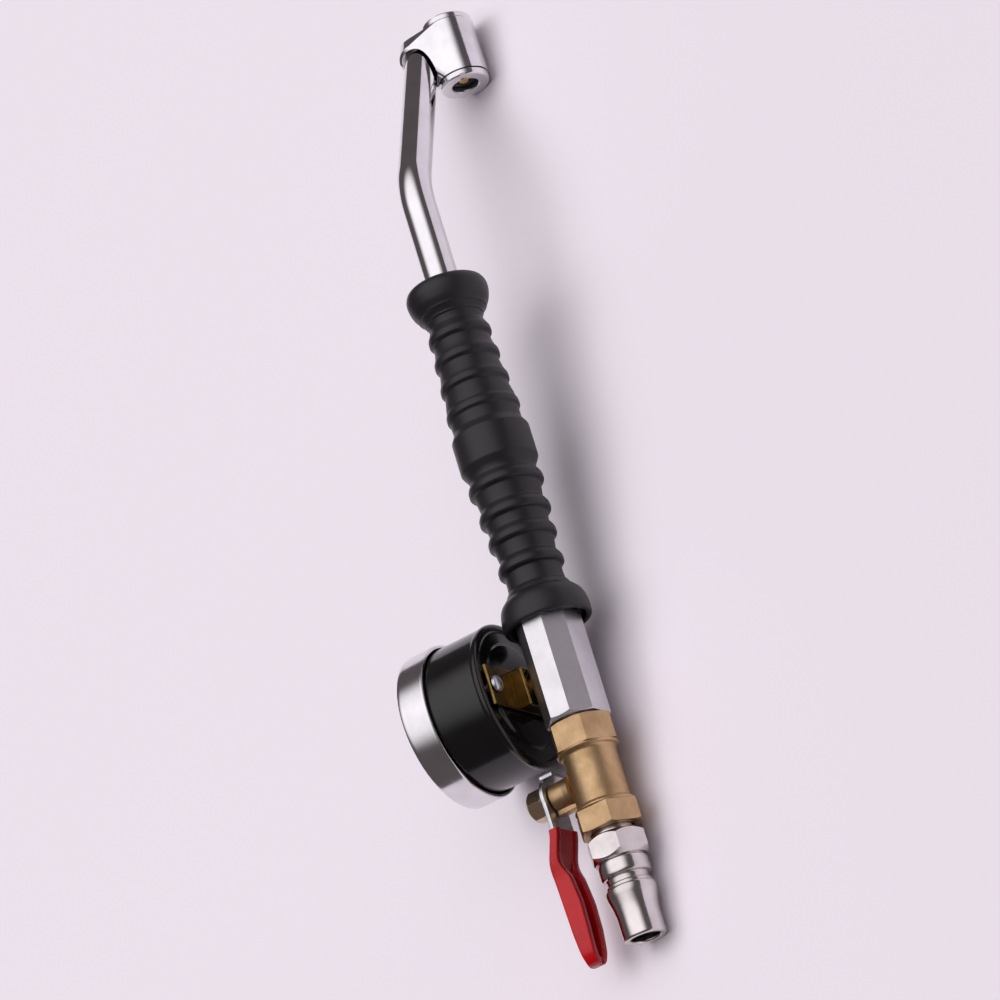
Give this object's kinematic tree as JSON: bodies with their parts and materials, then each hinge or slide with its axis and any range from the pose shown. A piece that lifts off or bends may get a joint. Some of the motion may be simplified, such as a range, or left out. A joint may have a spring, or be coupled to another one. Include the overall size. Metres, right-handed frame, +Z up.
{
  "type": "tyre inflator with gauge",
  "caption": "Hand-held tyre inflator: twin-mouth chuck on a bent tube, ribbed rubber grip, round dial gauge, lever-operated ball valve and coupler plug in one line.",
  "frame": {"origin": "centre of the bounding box at the ground plane the tool rests on", "axes": "+Z up; +X along the tool from the coupler plug towards the chuck; the dial faces mostly +Y"},
  "size_m": [0.3096, 0.0602, 0.0518],
  "materials": {
    "black_enamel": "gloss black enamel",
    "black_rubber": "matt",
    "chrome": "polished",
    "clear_lens": "clear",
    "forged_brass": "sand-textured forging",
    "nickel": "nickel-plated, worn",
    "pointer_black": "matt black",
    "ptfe": "plain white",
    "red_vinyl": "glossy dipped vinyl",
    "satin_steel": "satin",
    "seal_rubber": "satin",
    "spring_steel": "bright",
    "turned_brass": "machined",
    "white_dial": "printed white",
    "zinc_steel": "zinc-plated"
  },
  "bodies": {
    "frame": {"ball_seat_lower": "ptfe", "ball_seat_upper": "ptfe", "bent_tube": "chrome", "bourdon_block": "turned_brass", "bourdon_tube": "turned_brass", "case_screw_lower": "zinc_steel", "case_screw_upper": "zinc_steel", "chuck_body": "chrome", "chuck_seal_pull": "seal_rubber", "chuck_seal_push": "seal_rubber", "coupler_plug": "nickel", "dial_plate": "white_dial", "dial_screw_1": "zinc_steel", "dial_screw_2": "zinc_steel", "gauge_bezel": "chrome", "gauge_case": "black_enamel", "gauge_lens": "clear_lens", "gauge_socket": "turned_brass", "hairspring": "spring_steel", "lens_gasket": "seal_rubber", "manifold_block": "satin_steel", "movement_front_plate": "turned_brass", "movement_pillar_1": "turned_brass", "movement_pillar_2": "turned_brass", "movement_pillar_3": "turned_brass", "movement_rear_plate": "turned_brass", "plunger_spring_pull": "spring_steel", "plunger_spring_push": "spring_steel", "retaining_ring_pull": "chrome", "retaining_ring_push": "chrome", "rubber_grip": "black_rubber", "stem_o_ring": "seal_rubber", "valve_body": "forged_brass", "valve_seat_retainer": "turned_brass"},
    "lever": {"valve_lever": "zinc_steel", "lever_sleeve": "red_vinyl", "lever_nut": "turned_brass", "valve_stem": "turned_brass", "valve_ball": "chrome"},
    "pointer": {"pointer": "pointer_black", "pinion_arbor": "spring_steel"},
    "sector": {"sector_gear": "turned_brass"},
    "link": {"bourdon_link": "turned_brass"},
    "pin_push": {"depressor_pin_push": "turned_brass"},
    "pin_pull": {"depressor_pin_pull": "turned_brass"}
  },
  "joints": [
    {"name": "lever_turn", "type": "hinge", "parent": "frame", "child": "lever", "pos_m": [-0.10466, -0.01696, 0.01243], "axis": [-0.0404, 0.9535, 0.2986], "range_deg": [0, 90]},
    {"name": "sector_turn", "type": "hinge", "parent": "frame", "child": "sector", "pos_m": [-0.08274, -0.0202, 0.02571], "axis": [-0.0404, 0.9535, 0.2986], "range_deg": [0, 45], "stiffness_Nm_per_rad": 0.0005, "deforming": ["bourdon_tube", "hairspring"]},
    {"name": "pointer_turn", "type": "hinge", "parent": "frame", "child": "pointer", "pos_m": [-0.07245, -0.01696, 0.01679], "axis": [0.0404, -0.9535, -0.2986], "range_deg": [0, 270]},
    {"name": "link_swing", "type": "hinge", "parent": "sector", "child": "link", "pos_m": [-0.08473, -0.02131, 0.029], "axis": [-0.0404, 0.9535, 0.2986], "range_deg": [-45, 0]},
    {"name": "pin_push_slide", "type": "slide", "parent": "frame", "child": "pin_push", "axis": [-0.991, 0, -0.1342], "range_m": [0, 0.0012], "stiffness_N_per_m": 400, "springref_m": -0.001, "deforming": ["plunger_spring_push"]},
    {"name": "pin_pull_slide", "type": "slide", "parent": "frame", "child": "pin_pull", "axis": [0.991, 0, 0.1342], "range_m": [0, 0.0012], "stiffness_N_per_m": 400, "springref_m": -0.001, "deforming": ["plunger_spring_pull"]}
  ],
  "couplings": [
    {"joint": "pointer_turn", "follows": "sector_turn", "ratio": 6},
    {"joint": "link_swing", "follows": "sector_turn", "ratio": -1}
  ]
}
